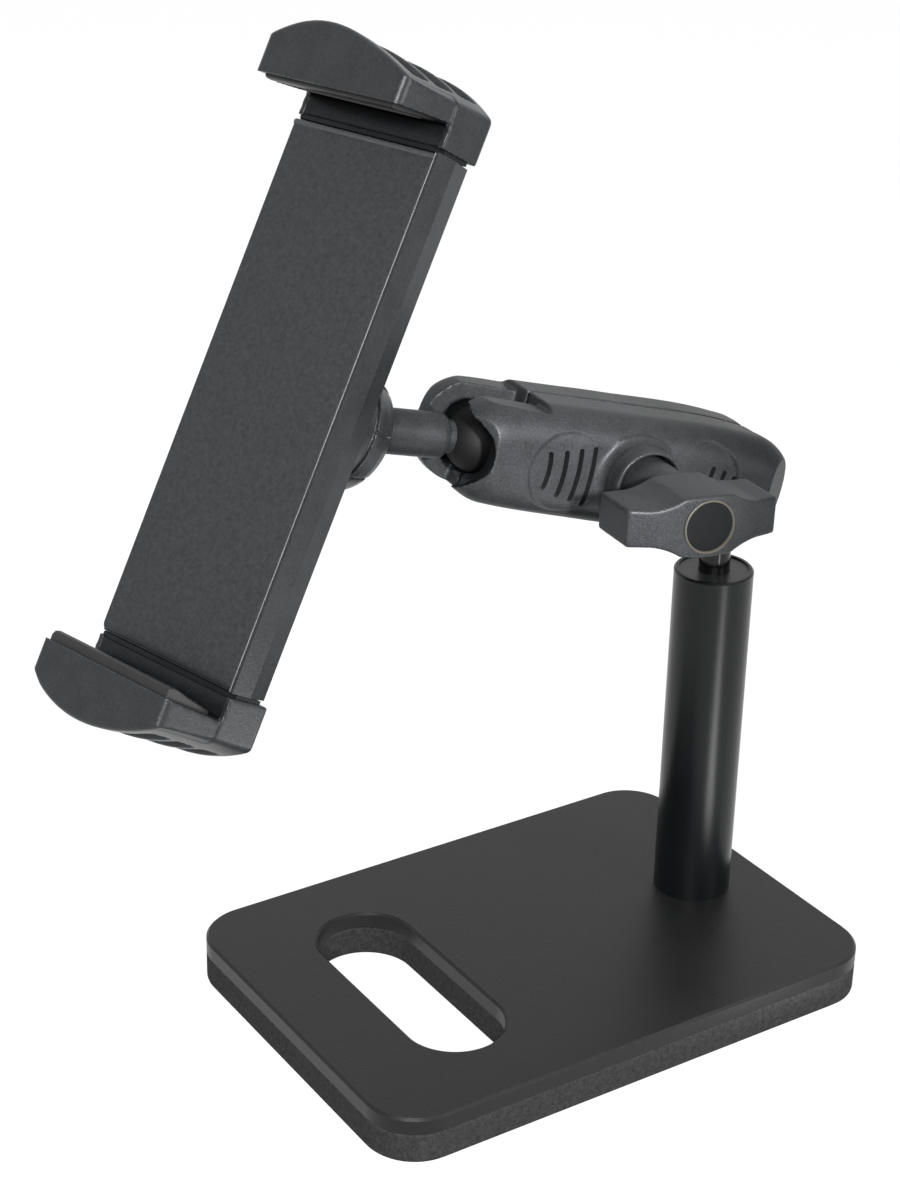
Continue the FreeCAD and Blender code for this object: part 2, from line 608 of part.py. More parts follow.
def claw_pad():
    # A rubber strip on the sloping inner face of the claw, with a ridge near its free edge
    slope = (CLAW_INNER_V - CLAW_INNER_LIP_V) / (CLAW_LIP_FRONT - RIM_FRONT)
    lo = CLAW_INNER_V - slope * (CLAW_PAD_START - RIM_FRONT)
    hi = CLAW_INNER_V - slope * (CLAW_PAD_END - RIM_FRONT)
    t = CLAW_PAD_THICK
    mid = (CLAW_PAD_START + CLAW_PAD_END) / 2 + 4.0
    mid_v = CLAW_INNER_V - slope * (mid - RIM_FRONT) - t - CLAW_RIDGE
    x = -CLAW_PAD_HALF
    points = [(x, lo, CLAW_PAD_START), (x, hi, CLAW_PAD_END), (x, hi - t, CLAW_PAD_END)]
    points += [(x, mid_v, mid), (x, lo - t, CLAW_PAD_START + 4.0), (x, lo - t, CLAW_PAD_START)]
    return prism(points, V(2 * CLAW_PAD_HALF, 0, 0))


def build_claws():
    frame = holder_frame()
    opposite = frame.multiply(FreeCAD.Placement(V(0, 0, 0), FreeCAD.Rotation(UP, 180)))
    for end, where in (("upper", frame), ("lower", opposite)):
        export(end + "_slide", placed(slide_piece(), where))
        export(end + "_claw", placed(claw_piece(), where))
        export(end + "_claw_pad", placed(claw_pad(), where))


def main():
    os.makedirs("parts", exist_ok=True)
    build_base()
    build_post()
    build_lower_ball()
    build_arm()
    build_knob()
    build_stem()
    build_holder_body()
    build_face_pad()
    build_nut()
    build_pinion()
    build_claws()


main()
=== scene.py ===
import json
import math

import bmesh
import bpy
from mathutils import Matrix, Vector


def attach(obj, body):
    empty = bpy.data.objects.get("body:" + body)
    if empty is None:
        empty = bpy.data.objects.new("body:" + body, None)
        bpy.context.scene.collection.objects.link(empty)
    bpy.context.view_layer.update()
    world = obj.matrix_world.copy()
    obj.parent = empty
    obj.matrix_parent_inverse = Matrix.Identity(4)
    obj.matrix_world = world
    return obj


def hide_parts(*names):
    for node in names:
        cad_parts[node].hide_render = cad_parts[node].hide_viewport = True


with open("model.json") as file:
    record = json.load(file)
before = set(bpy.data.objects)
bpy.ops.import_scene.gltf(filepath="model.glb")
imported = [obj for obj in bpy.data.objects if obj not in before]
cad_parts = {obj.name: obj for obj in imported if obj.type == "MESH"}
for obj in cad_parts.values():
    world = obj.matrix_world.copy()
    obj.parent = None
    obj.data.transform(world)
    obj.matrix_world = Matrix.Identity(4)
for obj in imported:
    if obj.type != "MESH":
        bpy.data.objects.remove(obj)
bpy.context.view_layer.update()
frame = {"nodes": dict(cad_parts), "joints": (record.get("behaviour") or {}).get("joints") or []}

bl_info = {
    "name": "Tablet Desk Stand",
    "version": (1, 0, 0),
    "blender": (4, 5, 0),
    "location": "View3D > Sidebar > Stand",
    "description": "Dresses the packed frame of a tablet desk stand",
    "category": "Object",
}

JOINTS = {joint["name"]: joint for joint in frame["joints"]}
MM = 0.001


# Places on the frame. All lengths below are millimetres in one of these local frames.

def place(origin, x, y, z):
    """Millimetres in a local frame to metres in the frame of the whole stand."""
    columns = Matrix((x, y, z)).transposed() * MM
    matrix = columns.to_4x4()
    matrix.translation = origin
    return matrix


def joint_point(name):
    return Vector(JOINTS[name]["pos_m"])


def joint_axis(name):
    return Vector(JOINTS[name]["axis"]).normalized()


LOWER_BALL = joint_point("arm_pitch")
UPPER_BALL = joint_point("upper_swing")
CLAMP_AXIS = joint_axis("arm_pitch")
ARM_LINE = (LOWER_BALL - UPPER_BALL).normalized()
ARM = place((LOWER_BALL + UPPER_BALL) / 2, ARM_LINE, CLAMP_AXIS.cross(ARM_LINE), CLAMP_AXIS)
STEM_LINE = joint_axis("stem_spin")
STEM = place(UPPER_BALL, CLAMP_AXIS, STEM_LINE.cross(CLAMP_AXIS), STEM_LINE)
FACE_OUT = joint_axis("holder_spin")
FACE_UP = joint_axis("upper_claw_slide")
HOLDER = place(joint_point("pinion_spin"), FACE_UP.cross(FACE_OUT), FACE_UP, FACE_OUT)
LOWER_END = HOLDER @ Matrix.Rotation(math.pi, 4, "Z")
UNPLACED = Matrix.Identity(4)


# Finishes

GRAIN_RELIEF = 0.0002
ROUGH_SPAN = 0.08
COOL = (0.97, 0.99, 1.04)


def grain_group():
    """Fine moulded or sprayed grain: a normal and two masks from object coordinates."""
    tree = bpy.data.node_groups.new("Surface Grain", "ShaderNodeTree")
    for label, way, kind, default in (
        ("Grain Size", "INPUT", "NodeSocketFloat", 0.4),
        ("Grain Depth", "INPUT", "NodeSocketFloat", 0.2),
        ("Patch Size", "INPUT", "NodeSocketFloat", 12.0),
        ("Normal", "OUTPUT", "NodeSocketVector", None),
        ("Patches", "OUTPUT", "NodeSocketFloat", None),
        ("Speckle", "OUTPUT", "NodeSocketFloat", None),
    ):
        socket = tree.interface.new_socket(name=label, in_out=way, socket_type=kind)
        if default is not None:
            socket.default_value = default
    nodes, links = tree.nodes, tree.links
    enter, leave = nodes.new("NodeGroupInput"), nodes.new("NodeGroupOutput")
    coords = nodes.new("ShaderNodeTexCoord")

    def noise_of(size_input, detail):
        scale = nodes.new("ShaderNodeMath")
        scale.operation = "DIVIDE"
        scale.inputs[0].default_value = 1 / MM
        links.new(enter.outputs[size_input], scale.inputs[1])
        noise = nodes.new("ShaderNodeTexNoise")
        noise.inputs["Detail"].default_value = detail
        links.new(coords.outputs["Object"], noise.inputs["Vector"])
        links.new(scale.outputs[0], noise.inputs["Scale"])
        return noise.outputs["Fac"]

    fine = noise_of("Grain Size", 3.0)
    patches = noise_of("Patch Size", 4.0)
    bump = nodes.new("ShaderNodeBump")
    bump.inputs["Distance"].default_value = GRAIN_RELIEF
    links.new(enter.outputs["Grain Depth"], bump.inputs["Strength"])
    links.new(fine, bump.inputs["Height"])
    links.new(bump.outputs["Normal"], leave.inputs["Normal"])
    links.new(patches, leave.inputs["Patches"])
    links.new(fine, leave.inputs["Speckle"])
    return tree


GRAIN = grain_group()


def principled(name):
    material = bpy.data.materials.new(name)
    material.use_nodes = True
    tree = material.node_tree
    return material, tree.nodes, tree.links, tree.nodes["Principled BSDF"]


def grained(name, dark, light, rough, size=0.4, depth=0.2, patch=12.0, gloss=0.5, metal=0.0,
            speck=0.0, tint=(1, 1, 1)):
    """A grained finish that drifts between two shades over broad patches."""
    material, nodes, links, shader = principled(name)
    grain = nodes.new("ShaderNodeGroup")
    grain.node_tree = GRAIN
    grain.inputs["Grain Size"].default_value = size
    grain.inputs["Grain Depth"].default_value = depth
    grain.inputs["Patch Size"].default_value = patch
    ramp = nodes.new("ShaderNodeValToRGB")
    for stop, position, shade in zip(ramp.color_ramp.elements, (0.3, 0.7), (dark, light)):
        stop.position = position
        stop.color = (*shade, 1)
    source = grain.outputs["Patches"]
    if speck:
        blend = nodes.new("ShaderNodeMix")
        blend.inputs["Factor"].default_value = speck
        links.new(source, blend.inputs["A"])
        links.new(grain.outputs["Speckle"], blend.inputs["B"])
        source = blend.outputs["Result"]
    links.new(source, ramp.inputs["Fac"])
    links.new(ramp.outputs["Color"], shader.inputs["Base Color"])
    spread = nodes.new("ShaderNodeMapRange")
    spread.inputs["To Min"].default_value = rough - ROUGH_SPAN / 2
    spread.inputs["To Max"].default_value = rough + ROUGH_SPAN / 2
    links.new(grain.outputs["Patches"], spread.inputs["Value"])
    links.new(spread.outputs["Result"], shader.inputs["Roughness"])
    links.new(grain.outputs["Normal"], shader.inputs["Normal"])
    shader.inputs["Specular IOR Level"].default_value = gloss
    shader.inputs["Metallic"].default_value = metal
    shader.inputs["Specular Tint"].default_value = (*tint, 1)
    return material


def grey(value, warm=0.0):
    return (value * (1 + warm), value, value * (1 - warm))


FINISH = {
    "plate": grained("Fine Powder Coat", grey(0.009, -0.03), grey(0.014, -0.03), 0.36,
                     depth=0.4, patch=34, gloss=0.25, speck=0.4),
    "foam": grained("Foam Rubber", grey(0.026), grey(0.080), 0.9,
                    size=0.8, depth=0.8, patch=1.8, gloss=0.12, speck=0.55),
    "post": grained("Satin Black Tube", grey(0.0045, -0.1), grey(0.006, -0.1), 0.28,
                    size=0.15, depth=0.06, patch=40, gloss=0.24),
    "stud": grained("Polished Black Steel", grey(0.004), grey(0.006), 0.16,
                    size=0.3, depth=0.03, gloss=0.3),
    "ball": grained("Black Rubber Ball", grey(0.002), grey(0.003), 0.6, depth=0.15, gloss=0.1),
    "arm": grained("Moulded Arm Plastic", grey(0.007, -0.06), grey(0.021, -0.06), 0.42,
                   size=0.55, depth=0.4, patch=6, gloss=0.12, speck=0.7, tint=COOL),
    "holder": grained("Moulded Holder Plastic", grey(0.010, -0.06), grey(0.031, -0.06), 0.33,
                      size=0.8, depth=0.3, patch=8, gloss=0.34, speck=0.6, tint=COOL),
    "leather": grained("Grained Leatherette", grey(0.030, -0.04), grey(0.064, -0.04), 0.6,
                       size=1.0, depth=1.0, patch=1.6, gloss=0.2, speck=0.5),
    # This finish is a painted highlight: leatherette painted lighter than the pad's own, standing in for
    # the light on the pad's rolled upper end.
    "roll": grained("Painted Highlight Leatherette", grey(0.070, -0.04), grey(0.105, -0.04), 0.5,
                    size=1.0, depth=0.6, patch=1.6, gloss=0.2, speck=0.4),
    "grip": grained("Grip Rubber", grey(0.010), grey(0.016), 0.4, gloss=0.4),
    # This finish is a painted highlight: light grey paint that stands in for the shine on the case's rim
    # edge.
    "painted_rim_highlight": grained("Painted Rim Highlight", grey(0.16, -0.08), grey(0.30, -0.08), 0.35,
                           size=2.0, depth=0.1, patch=6),
    "cap_ring": grained("Cap Ring", (0.034, 0.031, 0.025), (0.045, 0.041, 0.033), 0.5,
                        size=0.3, depth=0.1, gloss=0.2),
    "cap": grained("Flat Cap", grey(0.004, -0.08), grey(0.005, -0.08), 0.8,
                   size=0.3, depth=0.1, gloss=0.05),
    "plug": grained("Plug Plastic", grey(0.018, -0.04), grey(0.026, -0.04), 0.35,
                    size=0.3, depth=0.15, gloss=0.3),
    "zinc": grained("Zinc Plate", grey(0.45), grey(0.55), 0.35, size=0.5, depth=0.1, metal=1.0),
    "brass": grained("Turned Brass", (0.55, 0.38, 0.14), (0.62, 0.45, 0.2), 0.3,
                     size=0.5, depth=0.1, metal=1.0),
}

SCREW_NODES = ["holder_screw_%d" % i for i in (1, 2, 3, 4)]

NODE_FINISH = {
    "plate": ["base_plate"],
    "foam": ["base_pad"],
    "post": ["post_tube"],
    "plug": ["post_upper_plug"],
    "stud": ["lower_stud", "clamp_bolt"],
    "ball": ["lower_ball", "upper_ball", "holder_ball"],
    "arm": ["arm_rear_shell", "arm_front_shell", "knob", "upper_stem"],
    "holder": ["ring_nut", "holder_front", "holder_back", "upper_claw", "lower_claw",
               "upper_slide", "lower_slide", "pinion"],
    "leather": ["holder_pad"],
    "grip": ["upper_claw_pad", "lower_claw_pad"],
    "cap": ["knob_cap"],
    "zinc": ["post_lower_plug", "post_bolt", "post_washer", "stud_clip", "arm_spring",
             "knob_washer", "pinion_pin", *SCREW_NODES],
    "brass": ["knob_insert"],
}


# Mesh making

SAME_POINT = 1e-7
CAD_SAME_POINT = 2e-6
FLAT_WITHIN = math.radians(0.6)
BEVEL_OVER = math.radians(35)
BEVEL_SEGMENTS = 3


def linked(name, data):
    made = bpy.data.objects.new(name, data)
    bpy.context.scene.collection.objects.link(made)
    return made


def twin(made):
    copy = made.copy()
    copy.data = made.data.copy()
    bpy.context.scene.collection.objects.link(copy)
    return copy


def weld(mesh, distance, outward=False):
    """Merge points closer than the distance and, if asked, turn every face outward."""
    shape = bmesh.new()
    shape.from_mesh(mesh)
    bmesh.ops.remove_doubles(shape, verts=shape.verts, dist=distance)
    if outward:
        bmesh.ops.recalc_face_normals(shape, faces=shape.faces)
    shape.to_mesh(mesh)
    shape.free()


def mesh_object(verts, faces, matrix):
    mesh = bpy.data.meshes.new("shape")
    mesh.from_pydata([tuple(v) for v in verts], [], faces)
    mesh.transform(matrix)
    weld(mesh, SAME_POINT, outward=True)
    return linked("shape", mesh)


def cad_copy(node):
    """A welded copy of a node's own mesh."""
    copy = linked(node, frame["nodes"][node].data.copy())
    weld(copy.data, CAD_SAME_POINT)
    copy.data.materials.clear()
    return copy


def circle(radius, count=96, x=0.0, y=0.0):
    turns = [2 * math.pi * i / count for i in range(count)]
    return [(x + radius * math.cos(t), y + radius * math.sin(t)) for t in turns]


def prism(outline, low, high, matrix):
    """A closed prism between two heights over a flat outline."""
    count = len(outline)
    verts = [(x, y, z) for z in (low, high) for x, y in outline]
    faces = [tuple(range(count))[::-1], tuple(range(count, 2 * count))]
    faces += [(i, (i + 1) % count, count + (i + 1) % count, count + i) for i in range(count)]
    return mesh_object(verts, faces, matrix)


def brick(corner_a, corner_b, matrix):
    (x0, y0, z0), (x1, y1, z1) = corner_a, corner_b
    return prism([(x0, y0), (x1, y0), (x1, y1), (x0, y1)], z0, z1, matrix)


def loft(rings, matrix, capped=True):
    """Skin over closed rings of points that all have the same count."""
    count = len(rings[0])
    verts = [point for ring in rings for point in ring]
    faces = []
    for r in range(len(rings) - 1):
        for i in range(count):
            a, b = r * count + i, r * count + (i + 1) % count
            faces.append((a, b, b + count, a + count))
    if capped:
        faces.append(tuple(range(count))[::-1])
        faces.append(tuple(range((len(rings) - 1) * count, len(rings) * count)))
    return mesh_object(verts, faces, matrix)


def lathe(profile, matrix, count=96):
    """A turned shape about z from (radius, height) pairs; radius 0 closes the ends."""
    rings = [[(x, y, z) for x, y in circle(r, count)] for r, z in profile]
    return loft(rings, matrix, capped=False)


def bake(made):
    """Turn the live modifiers into plain mesh."""
    view = bpy.context.evaluated_depsgraph_get()
    mesh = bpy.data.meshes.new_from_object(made.evaluated_get(view))
    old = made.data
    made.modifiers.clear()
    made.data = mesh
    bpy.data.meshes.remove(old)
    return made


def combine(made, tools, operation="DIFFERENCE"):
    for tool in tools:
        step = made.modifiers.new("cut", "BOOLEAN")
        step.operation = operation
        step.solver = "EXACT"
        step.object = tool
        bake(made)
        bpy.data.objects.remove(tool)
    return made


def joined(made, others):
    shape = bmesh.new()
    for part in [made, *others]:
        shape.from_mesh(part.data)
    shape.to_mesh(made.data)
    shape.free()
    for part in others:
        bpy.data.objects.remove(part)
    return made


def moulded(made, voxel, rounds):
    """Soft moulded edges: an even skin of fine quads, eased over some rounds."""
    skin = made.modifiers.new("skin", "REMESH")
    skin.mode = "VOXEL"
    skin.voxel_size = voxel * MM
    ease = made.modifiers.new("ease", "SMOOTH")
    ease.factor = 0.5
    ease.iterations = rounds
    return bake(made)


def bevelled(made, width):
    flat = made.modifiers.new("flat", "DECIMATE")
    flat.decimate_type = "DISSOLVE"
    flat.angle_limit = FLAT_WITHIN
    edge = made.modifiers.new("edge", "BEVEL")
    edge.width = width * MM
    edge.segments = BEVEL_SEGMENTS
    edge.limit_method = "ANGLE"
    edge.angle_limit = BEVEL_OVER
    edge.use_clamp_overlap = True
    return bake(made)


def smooth(made, angle=35):
    """Smooth shading, with edges sharper than the angle in degrees left sharp."""
    made.data.shade_smooth()
    made.data.set_sharp_from_angle(angle=math.radians(angle))
    weigh = made.modifiers.new("weigh", "WEIGHTED_NORMAL")
    weigh.keep_sharp = True
    return bake(made)


def reshape(made, matrix, move):
    """Move every point by a rule written in a local frame."""
    back = matrix.inverted()
    for vert in made.data.vertices:
        vert.co = matrix @ Vector(move(*(back @ vert.co)))
    made.data.update()


def settle(made, name, finish, body, nodes):
    """Name the piece, give it its finish and hang it on its body."""
    made.name = name
    made.data.name = name
    made.data.materials.clear()
    made.data.materials.append(FINISH[finish])
    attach(made, body)
    if nodes:
        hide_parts(*nodes)


def ease_between(value, low, high):
    share = min(max((value - low) / (high - low), 0.0), 1.0)
    return share * share * (3 - 2 * share)


# Repeats

def repeat_tree():
    """Copies of the input shape, each moved and turned a step further than the last."""
    tree = bpy.data.node_groups.new("Repeat In Steps", "GeometryNodeTree")
    sockets = {}
    for label, kind in (("Shape", "Geometry"), ("Count", "Int"), ("Step", "Vector"),
                        ("Turn", "Float"), ("Finish", "Material")):
        socket = tree.interface.new_socket(name=label, in_out="INPUT", socket_type="NodeSocket" + kind)
        sockets[label] = socket.identifier
    tree.interface.new_socket(name="Shape", in_out="OUTPUT", socket_type="NodeSocketGeometry")
    nodes, links = tree.nodes, tree.links
    enter, leave = nodes.new("NodeGroupInput"), nodes.new("NodeGroupOutput")
    row = nodes.new("GeometryNodeMeshLine")
    links.new(enter.outputs["Count"], row.inputs["Count"])
    links.new(enter.outputs["Step"], row.inputs["Offset"])
    index = nodes.new("GeometryNodeInputIndex")
    angle_of = nodes.new("ShaderNodeMath")
    angle_of.operation = "MULTIPLY"
    links.new(index.outputs[0], angle_of.inputs[0])
    links.new(enter.outputs["Turn"], angle_of.inputs[1])
    turn = nodes.new("FunctionNodeAxisAngleToRotation")
    turn.inputs["Axis"].default_value = (0, 0, 1)
    links.new(angle_of.outputs[0], turn.inputs["Angle"])
    copies = nodes.new("GeometryNodeInstanceOnPoints")
    links.new(row.outputs["Mesh"], copies.inputs["Points"])
    links.new(enter.outputs["Shape"], copies.inputs["Instance"])
    links.new(turn.outputs["Rotation"], copies.inputs["Rotation"])
    real = nodes.new("GeometryNodeRealizeInstances")
    links.new(copies.outputs["Instances"], real.inputs["Geometry"])
    dress = nodes.new("GeometryNodeSetMaterial")
    links.new(real.outputs["Geometry"], dress.inputs["Geometry"])
    links.new(enter.outputs["Finish"], dress.inputs["Material"])
    links.new(dress.outputs["Geometry"], leave.inputs["Shape"])
    return tree, sockets


REPEAT, REPEAT_SOCKETS = repeat_tree()


def repeated(made, count, step, turn, finish):
    """A row or ring of the shape about z, as plain mesh."""
    row = made.modifiers.new("row", "NODES")
    row.node_group = REPEAT
    values = {"Count": count, "Step": step, "Turn": turn, "Finish": FINISH[finish]}
    for label, value in values.items():
        row[REPEAT_SOCKETS[label]] = value
    return bake(made)


# Sizes that a user would change

def length(label, about, millimetres):
    return bpy.props.FloatProperty(name=label, description=about, default=millimetres * MM,
                                   unit="LENGTH", precision=5)


def angle(label, about, degrees):
    return bpy.props.FloatProperty(name=label, description=about, default=math.radians(degrees),
                                   subtype="ANGLE")


class StandArm(bpy.types.PropertyGroup):
    skin: length("Skin", "Size of the faces of a shell's moulded skin", 0.42)
    dish_radius: length("Dish Radius", "Radius of the thumb dish", 12.4)
    dish_depth: length("Dish Depth", "Depth of the dish at its outer edge", 1.0)
    slot_width: length("Grip Slot", "Width of a grip slot", 1.5)
    slot_depth: length("Grip Depth", "Depth of a grip slot", 3.4)
    flare: length("Flare", "Fillet round the knob's collar", 2.0)
    collar_rise: length("Collar Rise", "How far the knob's collar stands out of the shell's face", 9.6)
    foam_edge: length("Foam Edge", "Rounding of the base pad's edges", 1.0)


class StandHolder(bpy.types.PropertyGroup):
    case_edge: length("Case Edge", "Rounding of the case's edges", 0.35)
    pad_end: length("Pad End", "Rounding of the pad's two ends", 2.4)
    pad_crown: length("Pad Crown", "How much fuller the pad is in its middle", 0.45)
    panels: bpy.props.IntProperty(name="Panels", description="Grip panels round the ring nut", default=8)
    panel_depth: length("Panel Depth", "Depth of the grooves between the ring nut's panels", 0.9)
    lip_round: length("Lip Corner", "Rounding of the claw's upright corners", 2.2)
    pocket_depth: length("Pocket Depth", "Depth of the pockets in the claw's crown", 1.8)
    claw_skin: length("Claw Skin", "Size of the faces of a claw's skin", 0.42)


class StandStage(bpy.types.PropertyGroup):
    azimuth: angle("Azimuth", "Direction the camera looks from", 56.48)
    height: angle("Elevation", "How far the camera looks down", 25.2)
    roll: angle("Roll", "Turn of the camera about its line of sight", 1.35)
    distance: length("Distance", "Camera to target", 802.8)
    target: bpy.props.FloatVectorProperty(name="Target", description="Point at the middle of the picture",
                                          default=(-0.0609, 0.00597, 0.11115), subtype="TRANSLATION")
    lens: bpy.props.FloatProperty(name="Lens", description="Focal length over a 36 mm tall picture",
                                  default=75.94)
    floor_size: length("Floor", "Side of the floor", 12000.0)


# Base and frame

class STAND_OT_finishes(bpy.types.Operator):
    """Give every part of the frame its finish"""
    bl_idname = "stand.finishes"
    bl_label = "Finish The Frame"

    def execute(self, context):
        for finish, names in NODE_FINISH.items():
            for name in names:
                node = frame["nodes"][name]
                node.data.materials.clear()
                node.data.materials.append(FINISH[finish])
        return {"FINISHED"}


class STAND_OT_foam(bpy.types.Operator):
    """The foam rubber under the plate, with softened edges"""
    bl_idname = "stand.foam"
    bl_label = "Base Foam"

    def execute(self, context):
        foam = bevelled(cad_copy("base_pad"), context.scene.stand_arm.foam_edge / MM)
        settle(smooth(foam, 40), "foam_pad", "foam", "base", ["base_pad"])
        return {"FINISHED"}


# Arm. Along x runs the line from the upper to the lower ball, along z the clamp bolt.

SHELL_FACE = 22
DISH_FROM_KNOB = 22.3
DISH_DROP = 1.5
DISH_FLOOR = 8
SLOT_FACE = 20.9
SLOT_BOW = 0.6
CUP_RADIUS = 12.6
COLLAR_BORE = 9.6
COLLAR_RADIUS = 11.15
COLLAR_FOOT = 20.0
TOP_TRIM = 1.3
FOOT_TRIM = 1.0

# By end of the arm: each slot's distance from the knob, upper and lower end
GRIP_SLOTS = {
    1: ((28.8, 3.5, -6.6), (23.9, 4.5, -8.3), (19.4, 5.7, -8.9), (15.2, 6.8, -10.0)),
    -1: ((33.7, 5.2, -3.6), (29.8, 6.5, -4.8), (25.7, 7.2, -5.6)),
}

# The stem's opening: height along the stem, half its width across the shells and along the swing
HOLLOW_RINGS = ((0.5, 9.0, 12.0), (2.5, 11.0, 19.8), (5.2, 12.4, 22.8), (11.0, 13.6, 25.0),
                (30.0, 16.4, 30.0))


def bowed_slot(x, top, bottom, width):
    """Outline of a narrow slot with round ends, bowed in its middle."""
    middle, half, side = (top + bottom) / 2, (top - bottom) / 2, width / 2
    line = [(x + SLOT_BOW * (1 - t * t), middle + half * t) for t in (i / 8 - 1 for i in range(17))]
    left = [(px - side, py) for px, py in line]
    right = [(px + side, py) for px, py in reversed(line)]

    def round_end(y, turns):
        return [(x + side * math.cos(t), y + side * math.sin(t)) for t in turns]

    head = round_end(top, [math.pi * (1 - i / 6) for i in range(1, 6)])
    foot = round_end(bottom, [-math.pi * i / 6 for i in range(1, 6)])
    return left + head + right + foot


def thumb_dish(shell, matrix, side, sizes):
    """The shell's own face leaning deeper away from the knob over a round dish, and the lid that
    cuts the old face away there."""
    radius, depth = sizes.dish_radius / MM, sizes.dish_depth / MM
    x, y = -DISH_FROM_KNOB * side, -DISH_DROP * side
    hinge = Vector((x + radius * side, 0, SHELL_FACE))
    lean = Matrix.Rotation(-math.atan2(depth, 2 * radius) * side, 4, "Y")
    turn = Matrix.Translation(hinge) @ lean @ Matrix.Translation(-hinge)
    lowered = twin(shell)
    lowered.data.transform(matrix @ turn @ matrix.inverted())
    plug = prism(circle(radius + 0.25, 96, x, y), DISH_FLOOR - 0.5, SHELL_FACE + 0.1, matrix)
    combine(lowered, [plug], "INTERSECT")
    return lowered, prism(circle(radius, 96, x, y), DISH_FLOOR, SHELL_FACE + 0.2, matrix)


def stem_hollow():
    """The flared opening that the stem swings in, wide across the shells."""
    turns = [2 * math.pi * i / 72 for i in range(72)]
    rings = [[(deep * math.cos(t), wide * math.sin(t), out) for t in turns]
             for out, wide, deep in HOLLOW_RINGS]
    return loft(rings, STEM)


def ball_cup():
    """The wider mouth round the upper ball in the rear shell."""
    turns = [math.pi * i / 32 for i in range(33)]
    return lathe([(CUP_RADIUS * math.sin(t), CUP_RADIUS * math.cos(t)) for t in turns], STEM)


def collar_flare(sizes, matrix):
    """The tall collar round the knob's shank, flaring out into the shell's face."""
    reach, top = sizes.flare / MM, SHELL_FACE + sizes.collar_rise / MM
    foot = SHELL_FACE + 0.02
    turns = [math.pi * (1 + i / 24) for i in range(13)]
    profile = [(COLLAR_BORE, COLLAR_FOOT), (COLLAR_BORE, top - 0.5), (10.0, top), (10.6, top),
               (11.0, top - 0.6)]
    profile += [(COLLAR_RADIUS + reach * (1 + math.cos(t)), foot + 1.6 * reach * (1 + math.sin(t)))
                for t in turns]
    profile += [(COLLAR_RADIUS + reach, COLLAR_FOOT), (COLLAR_BORE, COLLAR_FOOT)]
    return lathe(profile, matrix)


def slimmer(x, y, z):
    """The shells' long edges run straighter than the part's do."""
    middle = 1 - ease_between(abs(x + 5), 6, 42)
    if y > 0:
        return x, y - middle * TOP_TRIM * ease_between(y, 10, 17), z
    return x, y + middle * FOOT_TRIM * ease_between(-y, 10, 17), z


class STAND_OT_arm(bpy.types.Operator):
    """The arm's two shells with thumb dishes, grip slots and soft moulded edges"""
    bl_idname = "stand.arm"
    bl_label = "Arm Shells"

    def execute(self, context):
        sizes = context.scene.stand_arm
        turned = ARM @ Matrix.Rotation(math.pi, 4, "X")
        for node, body, matrix in (("arm_front_shell", "front_shell", ARM),
                                   ("arm_rear_shell", "arm", turned)):
            shell = cad_copy(node)
            dishes = [thumb_dish(shell, matrix, side, sizes) for side in (1, -1)]
            opening = stem_hollow() if body == "front_shell" else ball_cup()
            combine(shell, [lid for floor, lid in dishes] + [opening])
            added = [floor for floor, lid in dishes]
            if body == "front_shell":
                added.append(collar_flare(sizes, matrix))
            moulded(joined(shell, added), sizes.skin / MM, 2)
            reshape(shell, ARM, slimmer)
            cuts = []
            for side, slots in GRIP_SLOTS.items():
                for x, top, bottom in slots:
                    outline = bowed_slot(-x, top, bottom, sizes.slot_width / MM)
                    outline = [(px * side, py * side) for px, py in outline]
                    cuts.append(prism(outline, SLOT_FACE - sizes.slot_depth / MM, 30, matrix))
            combine(shell, cuts)
            settle(smooth(shell, 40), node + "_skin", "arm", body, [node])
        return {"FINISHED"}


class STAND_OT_knob(bpy.types.Operator):
    """The wing knob with the soft edges of a moulding"""
    bl_idname = "stand.knob"
    bl_label = "Wing Knob"

    def execute(self, context):
        knob = moulded(cad_copy("knob"), context.scene.stand_arm.skin / MM, 4)
        settle(smooth(knob, 50), "knob_skin", "arm", "knob", ["knob"])
        return {"FINISHED"}


class STAND_OT_cap_ring(bpy.types.Operator):
    """The thin ring that shows round the knob's cap"""
    bl_idname = "stand.cap_ring"
    bl_label = "Knob Cap Ring"

    def execute(self, context):
        rim = [(7.15, 65.9), (7.75, 65.9), (7.8, 66.95), (7.6, 67.1), (7.35, 67.1), (7.15, 66.8),
               (7.15, 65.9)]
        settle(smooth(lathe(rim, ARM)), "knob_cap_ring", "cap_ring", "knob", [])
        return {"FINISHED"}


# Holder. Along y runs the way of the upper claw, along z the way out of the pad.

NUT_SKIN = 0.3
NUT_TURN = math.radians(7)
NUT_DOME = [(0, -16.3), (20.3, -16.3), (20.4, -20.0), (20.2, -24.0), (19.6, -28.0), (18.5, -32.5),
            (17.4, -35.0), (16.2, -36.3), (0, -36.3)]
NUT_GROOVE = [(19.8, -25.4), (19.6, -28.0), (18.5, -32.5), (17.4, -35.0), (15.5, -37.0)]
CASE_HALF = 77.0
RIM_CUT = ((-32, -80, -1.95), (-28.1, 80, 2))
SCREW_HEAD = [(0, 11.0), (1.5, 11.0), (1.5, 1.4), (2.6, 1.4), (2.7, 1.2), (2.6, 0.5), (1.9, 0.12),
              (0, 0)]
SCREW_STEP = 30.0
SCREW_DEPTH = -13.9


